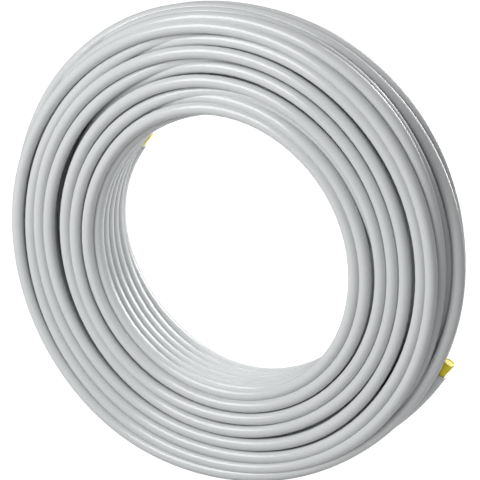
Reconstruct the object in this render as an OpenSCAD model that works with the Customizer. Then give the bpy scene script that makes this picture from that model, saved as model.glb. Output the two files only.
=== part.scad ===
// Coil of multilayer pipe: one length of pipe wound in layers round an open bore, with a
// push-in plug in each end. It stands on its rim, axis along Y, front face towards -Y.
// Clock angles run counter-clockwise from +X, seen from the front.

/* [Pipe] */
// Outside diameter of the pipe
pipe_d = 20; // [16:0.5:26]

/* [Winding] */
// Clear diameter of the bore, between the innermost turns
bore_d = 466; // [360:1:560]
// Number of full layers, from the bore outwards
layers = 7; // [5:1:9]
// Distance from one layer to the next, measured outwards
layer_step = 21.8; // [20:0.1:24]
// Turns side by side in a full layer
rows = 6; // [5:1:9]
// Distance from one turn to the next in a layer
row_step = 21.6; // [20:0.1:24]

/* [Rim] */
// Full turns of the outermost, part-filled layer, counted from the front
rim_rows = 4; // [3:1:4]
// Distance from one turn to the next in the outermost layer
rim_row_step = 20.2; // [20:0.1:21.6]
// Clock angle where the last turn, which is never completed, starts on the rim
last_turn_from = 130; // [100:1:180]

/* [Outer end] */
// Clock angle where the outer end starts to spring away from the rim
outer_end_from = 316; // [290:1:325]
// Radius that the outer end springs open to
outer_end_bend_r = 570; // [450:10:900]
// Angle that the outer end turns through before its cut face
outer_end_sweep = 12.5; // [8:0.5:16]

/* [Inner end] */
// Clock angle of the inner end's cut face, in the last turn of the first layer
inner_end_at = 141; // [100:1:180]
// Clock angle that the turn stays open past its cut face
inner_end_gap = 16; // [12:1:30]

/* [Plugs] */
// Diameter of a plug at the pipe's cut face
plug_base_d = 14.5; // [10:0.5:16]
// Diameter of a plug at its free end
plug_tip_d = 19.5; // [14:0.5:19.5]
// Length of a plug outside the pipe
plug_len = 26; // [12:1:26]

/* [Hidden] */
$fn = 96;

pipe_r = pipe_d / 2;
// How far the filled middle of the section reaches past the centres of its border turns
fill_lap = 2;
// How much of the innermost turns the bore trims off, so that they end in narrow lands
bore_trim = 0.4;
// Radius of the centre lines of the first layer, the last full layer and the rim turns
first_r = bore_d / 2 - bore_trim + pipe_r;
last_r = first_r + (layers - 1) * layer_step;
rim_r = last_r + layer_step;
// Distance of the first and the last turn of a layer from the middle of the coil
reach = (rows - 1) / 2 * row_step;
// Places of the last full rim turn and the last turn of all, positive towards the front
rim_end_z = reach - (rim_rows - 1) * rim_row_step;
last_turn_z = rim_end_z - rim_row_step;
// How far the room past the inner end keeps clear of the turns beside it and below it
room_clear = 0.2;
// How much slimmer the outer end is than its turn, so that no two round faces coincide
end_slim = 0.1;

// The coil is drawn lying down, front face up, and is stood on its rim by this
module stand() {
  rotate([90, 0, 0]) children();
}

// Section of one turn
module turn_at(r, z) {
  translate([r, z]) circle(d = pipe_d);
}

// Section of the winding: filled in the middle, with round turns on all four sides
module winding() {
  translate([first_r, -reach - fill_lap]) square([last_r - first_r + fill_lap, 2 * (reach + fill_lap)]);
  translate([last_r, rim_end_z - fill_lap])
    square([rim_r - last_r + fill_lap, reach - rim_end_z + 2 * fill_lap]);
  for (k = [0 : layers - 1], side = [-1, 1]) turn_at(first_r + k * layer_step, side * reach);
  for (i = [1 : rows - 2], r = [first_r, last_r]) turn_at(r, reach - i * row_step);
  for (i = [0 : rim_rows - 1]) turn_at(rim_r, reach - i * rim_row_step);
}

// The same section, trimmed to the bore
module section() {
  difference() {
    winding();
    translate([0, -reach - pipe_d]) square([bore_d / 2, 2 * (reach + pipe_d)]);
  }
}

// Room that is left open past the inner end, where its turn starts
module inner_end_room() {
  room_r1 = first_r - pipe_d;
  room_r2 = first_r + layer_step - pipe_r - room_clear;
  rotate([0, 0, inner_end_at - inner_end_gap])
    rotate_extrude(angle = inner_end_gap)
      translate([room_r1, -reach - pipe_d])
        square([room_r2 - room_r1, pipe_d + row_step / 2 - room_clear]);
}

// Section of the last turn, filled underneath like the full ones
module last_section() {
  turn_at(rim_r, last_turn_z);
  translate([last_r, last_turn_z - fill_lap]) square([rim_r - last_r, rim_row_step + fill_lap]);
}

// The last turn, which goes only part of the way round the rim
module last_turn() {
  rotate([0, 0, last_turn_from]) rotate_extrude(angle = outer_end_from - last_turn_from) last_section();
}

// Middle of the outer end's bend
module at_bend() {
  rotate([0, 0, outer_end_from]) translate([rim_r - outer_end_bend_r, 0, last_turn_z]) children();
}

// The outer end, springing away from the rim in a wider bend
module outer_end() {
  at_bend() rotate_extrude(angle = outer_end_sweep)
    translate([outer_end_bend_r, 0]) circle(d = pipe_d - end_slim);
}

// Frame of the outer end's cut face: +Z points out of the pipe
module at_outer_end() {
  at_bend() rotate([0, 0, outer_end_sweep])
    translate([outer_end_bend_r, 0, 0]) rotate([-90, 0, 0]) children();
}

// Frame of the inner end's cut face: +Z points out of the pipe
module at_inner_end() {
  rotate([0, 0, inner_end_at]) translate([first_r, 0, -reach]) rotate([90, 0, 0]) children();
}

// Plug: a plain taper, wider at its free end
module plug() {
  cylinder(d1 = plug_base_d, d2 = plug_tip_d, h = plug_len);
}

module pipe_coil() {
  color("gainsboro") stand() {
    difference() {
      rotate_extrude() section();
      inner_end_room();
    }
    last_turn();
    outer_end();
  }
}

module outer_end_plug() {
  color("gold") stand() at_outer_end() plug();
}

module inner_end_plug() {
  color("gold") stand() at_inner_end() plug();
}

pipe_coil();
outer_end_plug();
inner_end_plug();
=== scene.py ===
# %% [markdown]
# A coil of white multilayer pipe, standing on its rim. One length of pipe is wound in eight
# layers round an open bore, and each end is closed with a yellow plug. The coil has no core
# and no strap, so what there is to see is the pipe itself: how its turns lie beside each
# other, where one ducks under the next, and how soft light runs round them.
#
# Everything is placed in their frame: +Z up, +Y along the bore away from the front face, the
# origin in the middle of the bore. Sizes are in metres, apart from those marked mm, which MM
# turns into metres.

# %% Start
import bpy
import numpy as np
from mathutils import Matrix, Vector


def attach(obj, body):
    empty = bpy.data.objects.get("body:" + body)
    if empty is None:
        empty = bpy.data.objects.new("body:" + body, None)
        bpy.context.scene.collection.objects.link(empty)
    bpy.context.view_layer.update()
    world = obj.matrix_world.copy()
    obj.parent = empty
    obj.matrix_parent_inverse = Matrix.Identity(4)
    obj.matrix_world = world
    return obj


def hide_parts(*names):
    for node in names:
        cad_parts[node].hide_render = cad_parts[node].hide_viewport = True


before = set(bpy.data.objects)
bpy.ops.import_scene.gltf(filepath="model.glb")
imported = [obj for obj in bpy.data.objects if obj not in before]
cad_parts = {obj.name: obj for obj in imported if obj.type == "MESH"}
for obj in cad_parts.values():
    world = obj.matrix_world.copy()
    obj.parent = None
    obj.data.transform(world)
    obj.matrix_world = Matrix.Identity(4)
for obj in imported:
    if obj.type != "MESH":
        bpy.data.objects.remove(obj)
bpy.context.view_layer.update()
MM = 0.001

# %% [markdown]
# A clock angle says where a point lies round the coil. It runs counter-clockwise from +X,
# seen from the front. The pipe is wound counter-clockwise from its inner end, so the clock
# angle just keeps growing along the pipe, and 360 degrees more is one turn later.
#
# The pipe is drawn 0.4 mm wider all round than the 10 mm of the solids. Turns that lie side
# by side then close on each other along a fine line, as they do in a tightly wound coil.

# %% Main sizes
PIPE_R = 10.4             # mm, outside radius of the pipe as drawn
LAYERS = 8
FIRST_R = 242.4           # mm, centre line of the innermost layer
LAYER_STEP = 21.8         # mm, from one layer to the next
ROWS = 6                  # turns side by side in a full layer
FRONT_Y = -54.0           # mm, centre line of the front row
ROW_STEP = 21.6           # mm, from one row to the next
BORE_Y = [-41.0, -21.2, -2.0, 17.0, 36.2, 55.0]   # mm, rows of the innermost layer
INNER_END = 147.0         # clock angle of the inner end's cut face
OUTER_END = 335.0         # clock angle of the outer end's cut face
CROSS_FROM, CROSS_TO = 84.0, 132.0   # clock angles between which a turn changes its row
print("layers:", LAYERS, "rows:", ROWS, "pipe, mm:", 2 * PIPE_R)

# %% [markdown]
# A real coil isn't a perfect stack. On its front face the turns drift outwards a layer at a
# time, so they look like one flat spiral with a few turns that duck under. Each list below
# gives the radius of one front turn at clock angles 120, 150, ... 450. The
# turns behind the front row need no such list, because they lie in even rings.

# %% The lay of the front row
CLOCKS = np.arange(120.0, 480.0, 30.0)
FRONT_R = {               # mm, for each full layer
    1: [240, 239, 240, 241, 242, 242, 244, 245, 242, 242, 243, 247],
    2: [249, 249, 251, 254, 256, 259, 263, 264, 261, 260, 260, 262],
    3: [271, 273, 275, 280, 283, 281, 285, 287, 288, 289, 289, 292],
    4: [293, 295, 294, 297, 303, 305, 304, 308, 308, 312, 314, 314],
    5: [320, 325, 328, 328, 329, 326, 331, 329, 329, 335, 338, 339],
    6: [340, 347, 346, 349, 352, 347, 355, 353, 357, 363, 363, 359],
    7: [360, 360, 363, 370, 374, 368, 370, 373, 373, 380, 382, 380],
}
# The coil sits a little flat low on its right: the outer layers lie closer there.
SLACK_AT = [0, 30, 60, 90, 120, 240, 270, 300, 330, 360]   # clock angles
SLACK = [-2, 0, 0, -3, 0, 0, -4, -12, -8, -2]              # mm, for the outermost layer


def ring_r(layer, clock):
    """Radius of an even ring: the layer's own radius plus its share of the slack."""
    slack = np.interp(np.mod(clock, 360.0), SLACK_AT, SLACK)
    return FIRST_R + (layer - 1) * LAYER_STEP + slack * (layer - 1) / (LAYERS - 1)


print("front turns with a lay of their own:", len(FRONT_R))

# %% [markdown]
# Hidden turns leave their even rings for two reasons. The loose inner end stands off from the
# bore, so it pushes the back turns of the first three layers and lifts the turns in front of
# it. And behind some gaps between front turns the hidden turns lie to one side, so that the
# gap runs deep and dark, as it does in a coil that was wound by hand. One turn rises early,
# in the groove that it is about to come out of.

# %% Hidden turns that leave their rings
END_AT = [120, 147, 165, 180, 192, 206, 216, 228, 240, 252]      # clock angles
END_PUSH = np.array([6, 6, 12, 13, 10, 2, 1, -4, -4, 0])         # mm outwards
END_SHARE = {1: 1.0, 2: 0.7, 3: 0.3}        # share of the push, for each layer's back turn
LIFT_AT, LIFT = [120, 160, 185, 200], np.array([1, 1, 0.5, 0])   # clock angles, share
LIFT_BY = {3: 2, 4: 5, 5: 8}                # mm outwards, for each row of the first layer
ROOM = {      # layer: rows that make room, then clock angles and mm outwards
    2: ((2, 3), [132, 150, 290, 310], [0, -5, -5, 0]),
    3: ((2,), [360, 384], [0, -10.5]),
    4: ((2, 3), [132, 150, 210, 230, 372, 390, 430, 444], [0, -3, -3, 0, 0, 6, 6, 0]),
    5: ((2, 3), [132, 150, 215, 235], [0, 6.5, 6.5, 0]),
    6: ((2, 3), [132, 150, 215, 235, 310, 330, 410, 430], [0, 3, 3, 0, 0, 5, 5, 0]),
    7: ((2, 3), [132, 150, 240, 260, 372, 390, 430, 444], [0, -9, -9, 0, 0, -7, -7, 0]),
}
EARLY, EARLY_PUSH, EARLY_Y = (3, 2), -5.0, -42.0   # layer and row, mm outwards, mm along y

MOVED = {(layer, row): (at, push) for layer, (rows, at, push) in ROOM.items() for row in rows}
MOVED.update({(layer, ROWS): (END_AT, END_PUSH * share) for layer, share in END_SHARE.items()})
MOVED.update({(1, row): (LIFT_AT, LIFT * lift) for row, lift in LIFT_BY.items()})
print("hidden turns that leave their rings:", len(MOVED))

# %% [markdown]
# The route of the pipe is a list of stations (clock, radius, place along the bore). Odd
# layers are wound from the back row to the front row, even layers the other way. An even
# ring needs stations only outside its crossing, because the smoothing afterwards turns the
# jump from row to row into the slanting stretch that a real turn has.

# %% Route of the full layers
STATION_STEP = 12.0                         # degrees between the stations of an even ring
FORWARD_AT = [240, 330]                     # the innermost front turn comes forward here
DUCK_AFTER, DUCK_BY = 430, 8                # clock angle and mm back, even layers
COME_UP_BEFORE, COME_UP_BY = 140, 6         # clock angle and mm back, odd layers
NOT_MOVED = ([0], [0])


def even_turn(turn, layer, row):
    """Stations of one even ring: the ring's radius plus its move outwards, at constant y from
    the end of one crossing to the next."""
    clock = np.arange(CROSS_TO if turn else INNER_END, CROSS_FROM + 361.0, STATION_STEP)
    out = np.interp(clock, *MOVED.get((layer, row), NOT_MOVED))
    y = np.full_like(clock, BORE_Y[row - 1] if layer == 1 else FRONT_Y + (row - 1) * ROW_STEP)
    if (layer, row) == EARLY:
        y[out < EARLY_PUSH] = EARLY_Y
    return np.stack([clock + 360.0 * turn, ring_r(layer, clock) + out, y], axis=1)


def front_turn(turn, layer):
    """Stations of one front turn: its own radius at each clock angle, a little further back
    where it comes up from the layer below or ducks under the next one."""
    y = np.full_like(CLOCKS, FRONT_Y)
    if layer == 1:
        y = np.interp(CLOCKS, FORWARD_AT, [BORE_Y[0], FRONT_Y])
    elif layer % 2:
        y[CLOCKS < COME_UP_BEFORE] += COME_UP_BY
    else:
        y[CLOCKS > DUCK_AFTER] += DUCK_BY
    return np.stack([CLOCKS + 360.0 * turn, FRONT_R[layer], y], axis=1)


route = []                # one array of stations for each turn
for layer in range(1, LAYERS):
    for row in range(ROWS, 0, -1) if layer % 2 else range(1, ROWS + 1):
        turn = len(route)
        route.append(front_turn(turn, layer) if row == 1 else even_turn(turn, layer, row))
print("turns in the full layers:", len(route))

# %% [markdown]
# The outermost layer is only part filled and lies looser. Low on the right its first turn
# climbs over the two that follow it, rides along the rim there, and slips back to its place
# behind the upper left. The last turn springs away from the rim before it is cut off.
# Each list is one turn: clock angle, radius and place along the bore.

# %% Route of the outermost layer
RIM_TURNS = [             # clock angle, mm, mm
    [(120, 379, -54), (150, 384, -54), (165, 388, -54), (180, 390, -54), (210, 394, -54),
     (240, 396, -54), (262, 386, -54), (280, 382, -53), (300, 382, -48), (312, 384, -42),
     (324, 388, -37), (335, 393, -32), (345, 399, -26), (352, 403, -21), (360, 404, -15),
     (371, 403, -6), (381, 400, 0), (391, 399, 4), (406, 397, 5), (442, 395, 5),
     (454, 395, 5), (465, 401, 5), (477, 406, 0)],
    [(129, 408, -12), (141, 405, -26), (155, 399, -33), (180, 396, -34), (240, 396, -34),
     (262, 389, -34), (280, 384, -33), (300, 381, -32), (320, 377, -34), (340, 377, -37),
     (357, 379, -36), (373, 383, -36), (383, 388, -37), (392, 395, -40), (405, 399, -42),
     (420, 398, -43), (442, 395, -46), (465, 392, -51), (477, 389, -48)],
    [(129, 389, -36), (141, 392, -24), (155, 395, -15), (180, 396, -14), (240, 396, -14),
     (262, 389, -14), (280, 384, -13), (300, 382, -12), (340, 383, -14), (380, 384, -15),
     (393, 390, -21), (404, 394, -22), (430, 394, -22), (442, 395, -22), (465, 396, -23),
     (477, 397, -18)],
    [(129, 397, -8), (145, 396, 2), (165, 395, 6), (240, 396, 6), (262, 389, 6),
     (280, 384, 7), (300, 382, 8), (340, 387, 20), (373, 390, 22), (387, 399, 22),
     (405, 401, 22), (420, 399, 22), (437, 394, 22), (455, 394, 22), (465, 399, 22),
     (477, 403, 23)],
    [(129, 400, 25), (150, 396, 26), (240, 396, 26), (262, 390, 27), (280, 385, 27),
     (300, 383, 27), (316, 385, 28), (325, 390, 28), (334, 398, 28), (364, 417, 28)],
]

for stations in RIM_TURNS:
    route.append(np.array(stations) + np.array([360.0 * len(route), 0.0, 0.0]))
LAST_CLOCK = 360.0 * (len(route) - 1) + OUTER_END
route = np.concatenate(route)
print("stations:", len(route), "turns:", round((LAST_CLOCK - INNER_END) / 360, 2))

# %% [markdown]
# The stations are joined by straight ramps on a fine, even clock grid, and a bell-shaped
# running mean rounds the ramps off. That is what a stiff pipe does: it can't turn a corner.
# The grid runs on past the cut face, so that the mean has something to take in there.

# %% Smooth route
GRID = 2.0                # degrees between points of the fine grid
BELL = 9.0                # degrees, the bell's spread to either side
BELL_CUT = 3              # spreads after which the bell counts as zero
RUN_ON = 30.0             # degrees past the cut face


def smooth_route(stations, last_clock):
    """Radius and y on an even clock grid: linear ramps, then a Gaussian running mean."""
    clock = np.arange(stations[0, 0], last_clock, GRID)
    half = int(BELL_CUT * BELL / GRID)
    bell = np.exp(-0.5 * (np.arange(-half, half + 1) * GRID / BELL) ** 2)
    bell /= bell.sum()
    smooth = [clock]
    for column in (1, 2):
        ramps = np.interp(clock, stations[:, 0], stations[:, column])
        smooth.append(np.convolve(np.pad(ramps, half, mode="edge"), bell, mode="valid"))
    return smooth


def travel(points):
    """Distance along a row of points: the running sum of the steps between them."""
    steps = np.linalg.norm(np.diff(points, axis=0), axis=1)
    return np.concatenate([[0.0], np.cumsum(steps)])


clock, radius, along_y = smooth_route(route, LAST_CLOCK + RUN_ON)
angle = np.radians(clock)
centre = np.stack([radius * np.cos(angle), along_y, radius * np.sin(angle)], axis=1) * MM
centre = centre[clock <= LAST_CLOCK]
print("length of pipe, m:", round(travel(centre)[-1], 1))

# %% [markdown]
# A tube is a circle carried along the route. Rings stand closer together than the eye can
# tell, and the two ends are closed with a flat disc, so the skin is one closed surface.

# %% Tube along the route
SIDES = 22                # corners of a ring
RING_GAP = 0.0218         # m between rings


def ring_quads(count, sides):
    """Faces between rings of corners: corner j of ring i, its neighbour, and the same two
    corners of ring i + 1."""
    i, j = np.meshgrid(np.arange(count - 1), np.arange(sides), indexing="ij")
    k = (j + 1) % sides
    quads = np.stack([i * sides + j, i * sides + k, (i + 1) * sides + k, (i + 1) * sides + j], -1)
    return quads.reshape(-1, 4)


def tube(points, ring_gap, radius_m, sides):
    """Corners, ring middles and directions of a tube. A ring is middle + r (cos a * out +
    sin a * side), where out is the direction away from the coil's axis made square to the
    route, and side is tangent x out."""
    reach = travel(points)
    count = int(round(reach[-1] / ring_gap)) + 1
    along = np.linspace(0.0, reach[-1], count)
    middle = np.stack([np.interp(along, reach, points[:, i]) for i in range(3)], axis=1)
    tangent = np.gradient(middle, axis=0)
    tangent /= np.linalg.norm(tangent, axis=1, keepdims=True)
    out = middle * np.array([1.0, 0.0, 1.0])
    out -= (out * tangent).sum(axis=1, keepdims=True) * tangent
    out /= np.linalg.norm(out, axis=1, keepdims=True)
    side = np.cross(tangent, out)
    a = np.linspace(0.0, 2 * np.pi, sides, endpoint=False)[None, :, None]
    ring = np.cos(a) * out[:, None, :] + np.sin(a) * side[:, None, :]
    return (middle[:, None, :] + radius_m * ring).reshape(-1, 3), middle, tangent


def make_piece(name, verts, faces, flat_faces=()):
    """A mesh object from arrays, smooth except for the named faces."""
    mesh = bpy.data.meshes.new(name)
    mesh.from_pydata(verts.tolist(), [], faces)
    mesh.polygons.foreach_set("use_smooth", np.ones(len(mesh.polygons), dtype=bool))
    for f in flat_faces:
        mesh.polygons[f].use_smooth = False
    mesh.update()
    piece = bpy.data.objects.new(name, mesh)
    bpy.context.scene.collection.objects.link(piece)
    return piece


verts, path, tangent = tube(centre, RING_GAP, PIPE_R * MM, SIDES)
faces = ring_quads(len(path), SIDES).tolist()
print("rings:", len(path), "triangles:", 2 * len(faces))
faces += [list(range(SIDES)), list(range(len(verts) - 1, len(verts) - SIDES - 1, -1))]
pipe = make_piece("pipe", verts, faces, (len(faces) - 2, len(faces) - 1))
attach(pipe, "root")
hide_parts("pipe_coil")

# %% [markdown]
# The plugs are plain push-in tapers, a little wider at their free end. A profile is turned
# round the pipe's own axis at each end: a small lip against the cut face, the taper, a
# rounded edge and a shallow dish in the end.

# %% Plugs
PLUG_SIDES = 40
PLUG_PROFILE = np.array([   # mm: place along the axis, radius
    [-0.2, 0.0], [-0.2, 7.0], [0.0, 7.2], [2.0, 7.4], [12.0, 8.5], [24.0, 9.7], [25.0, 9.8],
    [25.7, 9.6], [26.0, 9.1], [25.8, 8.4], [25.4, 8.0], [25.3, 5.0], [25.3, 0.0],
]) * MM


def plug(name, at, axis, node):
    """A turned piece: each profile point becomes a ring round the axis. The two end points
    lie on the axis and close the shape."""
    axis = axis / np.linalg.norm(axis)
    u = np.cross(axis, [0.0, 1.0, 0.0])
    u /= np.linalg.norm(u)
    v = np.cross(axis, u)
    a = np.linspace(0.0, 2 * np.pi, PLUG_SIDES, endpoint=False)
    ring = np.cos(a)[:, None] * u + np.sin(a)[:, None] * v
    place, radius = PLUG_PROFILE[1:-1].T[:, :, None, None]
    rings = (at + place * axis + radius * ring).reshape(-1, 3)
    tips = at + PLUG_PROFILE[[0, -1], :1] * axis
    last_ring, first_tip = len(rings) - PLUG_SIDES, len(rings)
    j = np.arange(PLUG_SIDES)
    k = (j + 1) % PLUG_SIDES
    faces = ring_quads(len(place), PLUG_SIDES).tolist()
    faces += np.stack([k, j, np.full_like(j, first_tip)], axis=1).tolist()
    faces += np.stack([last_ring + j, last_ring + k, np.full_like(j, first_tip + 1)], 1).tolist()
    piece = make_piece(name, np.concatenate([rings, tips]), faces)
    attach(piece, "root")
    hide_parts(node)
    return piece


outer_plug = plug("plug_outer_end", path[-1], tangent[-1], "outer_end_plug")
inner_plug = plug("plug_inner_end", path[0], -tangent[0], "inner_end_plug")
print("outer end at, m:", np.round(path[-1], 3), "inner end at, m:", np.round(path[0], 3))

# %% [markdown]
# The pipe's skin is white polyethylene with a soft shine. A plain colour would look like
# plaster, so three faint things vary over it: large soft clouds in the white, fine scuffs
# that dull the shine, and a slight unevenness in the surface that breaks up long reflections.

# %% Skin effects
SKIN_INPUTS = {"cloud_scale": 6.0, "scuff_scale": 160.0}   # waves in each metre
SKIN_OUTPUTS = ("cloud", "scuff", "height")
CLOUD_DETAIL, SCUFF_DETAIL = 3.0, 6.0
SCUFF_FROM, SCUFF_TO = 0.52, 0.72    # share of the noise where a scuff begins and is full


def make_skin_group():
    """Soft clouds and fine scuffs from Object coordinates: two masks and one height."""
    tree = bpy.data.node_groups.new("plastic_skin", "ShaderNodeTree")
    for name, value in SKIN_INPUTS.items():
        socket = tree.interface.new_socket(name=name, in_out="INPUT",
                                           socket_type="NodeSocketFloat")
        socket.default_value = value
    for name in SKIN_OUTPUTS:
        tree.interface.new_socket(name=name, in_out="OUTPUT", socket_type="NodeSocketFloat")
    nodes, links = tree.nodes, tree.links
    given, made = nodes.new("NodeGroupInput"), nodes.new("NodeGroupOutput")
    where = nodes.new("ShaderNodeTexCoord")
    cloud = nodes.new("ShaderNodeTexNoise")
    cloud.inputs["Detail"].default_value = CLOUD_DETAIL
    scuff = nodes.new("ShaderNodeTexNoise")
    scuff.inputs["Detail"].default_value = SCUFF_DETAIL
    ramp = nodes.new("ShaderNodeMapRange")
    ramp.inputs["From Min"].default_value = SCUFF_FROM
    ramp.inputs["From Max"].default_value = SCUFF_TO
    for noise, scale in ((cloud, "cloud_scale"), (scuff, "scuff_scale")):
        links.new(where.outputs["Object"], noise.inputs["Vector"])
        links.new(given.outputs[scale], noise.inputs["Scale"])
    links.new(scuff.outputs["Fac"], ramp.inputs["Value"])
    links.new(cloud.outputs["Fac"], made.inputs["cloud"])
    links.new(ramp.outputs["Result"], made.inputs["scuff"])
    links.new(scuff.outputs["Fac"], made.inputs["height"])
    return tree


SKIN = make_skin_group()
print("skin group sockets:", [s.name for s in SKIN.interface.items_tree])

# %% [markdown]
# Both plastics are made by one function, because pipe and plug differ only in their numbers.
# The pipe is smooth and shines softly. The plugs are moulded from a duller yellow, with a
# little more unevenness, so their highlights stay broad.

# %% Plastic materials
WAVE_DEPTH = 0.0006       # m, how deep the skin's unevenness counts
PLASTIC_IOR = 1.5


def plastic(name, light, dark, rough, scuffed, bump):
    """A plastic whose colour drifts between two near tones, with duller scuffs."""
    mat = bpy.data.materials.new(name)
    mat.use_nodes = True
    nodes, links = mat.node_tree.nodes, mat.node_tree.links
    bsdf = nodes["Principled BSDF"]
    bsdf.inputs["IOR"].default_value = PLASTIC_IOR
    skin = nodes.new("ShaderNodeGroup")
    skin.node_tree = SKIN
    tone = nodes.new("ShaderNodeMix")
    tone.data_type = "RGBA"
    tone.inputs["A"].default_value = (*dark, 1.0)
    tone.inputs["B"].default_value = (*light, 1.0)
    dull = nodes.new("ShaderNodeMapRange")
    dull.inputs["To Min"].default_value = rough
    dull.inputs["To Max"].default_value = scuffed
    wave = nodes.new("ShaderNodeBump")
    wave.inputs["Strength"].default_value = bump
    wave.inputs["Distance"].default_value = WAVE_DEPTH
    links.new(skin.outputs["cloud"], tone.inputs["Factor"])
    links.new(tone.outputs["Result"], bsdf.inputs["Base Color"])
    links.new(skin.outputs["scuff"], dull.inputs["Value"])
    links.new(dull.outputs["Result"], bsdf.inputs["Roughness"])
    links.new(skin.outputs["height"], wave.inputs["Height"])
    links.new(wave.outputs["Normal"], bsdf.inputs["Normal"])
    return mat


PIPE_WHITE = plastic("pipe_white", light=(0.61, 0.625, 0.63), dark=(0.56, 0.575, 0.58),
                     rough=0.16, scuffed=0.22, bump=0.004)
PLUG_YELLOW = plastic("plug_yellow", light=(0.93, 0.77, 0.005), dark=(0.86, 0.68, 0.004),
                      rough=0.42, scuffed=0.55, bump=0.02)
pipe.data.materials.append(PIPE_WHITE)
for piece in (outer_plug, inner_plug):
    piece.data.materials.append(PLUG_YELLOW)
print("materials:", PIPE_WHITE.name, PLUG_YELLOW.name)

# %% [markdown]
# The floor is a plain pale disc under the rim. The camera sees it mostly as its own white
# glow, so it looks like one bright ground, and it still throws plain grey light back up at
# the underside of the coil. The surroundings are white for the camera and dim for the coil.

# %% Floor and surroundings
FLOOR_R, FLOOR_SIDES = 12.0, 96      # m, corners
FLOOR_GREY, FLOOR_ROUGH = 0.6, 0.9
FLOOR_GLOW, GLOW_SHARE = 1.25, 0.8   # glow, and its share in what the camera sees
DIM, BRIGHT = 0.24, 1.0              # surroundings as the coil and as the camera see them


def floor_disc(z):
    """A flat disc: one ring of corners and one face."""
    a = np.linspace(0.0, 2 * np.pi, FLOOR_SIDES, endpoint=False)
    rim = np.stack([FLOOR_R * np.cos(a), FLOOR_R * np.sin(a), np.full_like(a, z)], axis=1)
    disc = make_piece("floor", rim, [list(range(FLOOR_SIDES))], (0,))
    return disc


lowest = float(verts[:, 2].min())
floor = floor_disc(lowest)
paper = bpy.data.materials.new("floor_white")
paper.use_nodes = True
nodes, links = paper.node_tree.nodes, paper.node_tree.links
base = nodes["Principled BSDF"]
base.inputs["Base Color"].default_value = (FLOOR_GREY, FLOOR_GREY, FLOOR_GREY, 1.0)
base.inputs["Roughness"].default_value = FLOOR_ROUGH
glow = nodes.new("ShaderNodeEmission")
glow.inputs["Strength"].default_value = FLOOR_GLOW
rays = nodes.new("ShaderNodeLightPath")
share = nodes.new("ShaderNodeMath")
share.operation = "MULTIPLY"
share.inputs[1].default_value = GLOW_SHARE
mix = nodes.new("ShaderNodeMixShader")
links.new(rays.outputs["Is Camera Ray"], share.inputs[0])
links.new(share.outputs["Value"], mix.inputs["Fac"])
links.new(base.outputs["BSDF"], mix.inputs[1])
links.new(glow.outputs["Emission"], mix.inputs[2])
links.new(mix.outputs["Shader"], nodes["Material Output"].inputs["Surface"])
floor.data.materials.append(paper)

world = bpy.data.worlds.new("studio")
world.use_nodes = True
bpy.context.scene.world = world
nodes, links = world.node_tree.nodes, world.node_tree.links
backdrop = nodes["Background"]
backdrop.inputs["Color"].default_value = (1.0, 1.0, 1.0, 1.0)
rays = nodes.new("ShaderNodeLightPath")
level = nodes.new("ShaderNodeMapRange")
level.inputs["To Min"].default_value = DIM
level.inputs["To Max"].default_value = BRIGHT
links.new(rays.outputs["Is Camera Ray"], level.inputs["Value"])
links.new(level.outputs["Result"], backdrop.inputs["Strength"])
print("floor at z, m:", round(lowest, 4))

# %% [markdown]
# Two large soft lamps light the coil: one high in front on the left, and a weaker one from
# behind on the right. Each turn then has one soft streak, and the gaps between turns go dark
# by themselves. A small lamp behind the bore, which the camera doesn't see, brightens the
# inside of the winding on the left.

# %% Lamps
def lamp(name, at, aim, size, power):
    """A square area lamp that looks at a point."""
    data = bpy.data.lights.new(name, "AREA")
    data.size = size
    data.energy = power
    obj = bpy.data.objects.new(name, data)
    bpy.context.scene.collection.objects.link(obj)
    obj.location = at
    obj.rotation_euler = Vector(np.subtract(aim, at)).to_track_quat("-Z", "Y").to_euler()
    return obj


lamps = [
    lamp("front", at=(-1.6, -3.2, 2.2), aim=(0, 0, 0), size=2.8, power=165.0),
    lamp("back", at=(1.5, 2.9, 2.1), aim=(0, 0, 0), size=3.2, power=75.0),
    lamp("bore", at=(0.25, 0.6, 0.25), aim=(-0.2, 0, -0.15), size=0.5, power=5.0),
]
lamps[-1].visible_camera = False
print("lamps, W:", {obj.name: obj.data.energy for obj in lamps})

# %% [markdown]
# The camera stands to the right and a little above, far away with a long lens, so the
# coil's face shows as a slim ellipse and the near side is hardly larger than the far side.

# %% Camera
YAW, TILT, AWAY = np.radians(27.7), np.radians(18.5), 3.815   # to the right, up, m from the coil
LENS, SENSOR = 173.25, 36.0                                   # mm
SEES_TO = 60.0                                                # m
MIDDLE = np.array([0.0, 0.006, 0.0])                          # m, middle of the coil
AIM_RIGHT, AIM_UP = 0.005, 0.009                              # m off the middle

to_camera = np.array([np.sin(YAW) * np.cos(TILT), -np.cos(YAW) * np.cos(TILT), np.sin(TILT)])
right = np.array([np.cos(YAW), np.sin(YAW), 0.0])
up = np.cross(right, -to_camera)
stand = MIDDLE + AIM_RIGHT * right + AIM_UP * up + AWAY * to_camera
data = bpy.data.cameras.new("camera")
data.lens = LENS
data.sensor_width = SENSOR
data.clip_end = SEES_TO
camera = bpy.data.objects.new("camera", data)
bpy.context.scene.collection.objects.link(camera)
facing = Matrix((right, up, to_camera)).transposed()
camera.matrix_world = Matrix.Translation(stand) @ facing.to_4x4()
bpy.context.scene.camera = camera
bpy.context.scene.view_settings.view_transform = "Standard"
print("camera at, m:", np.round(stand, 3))
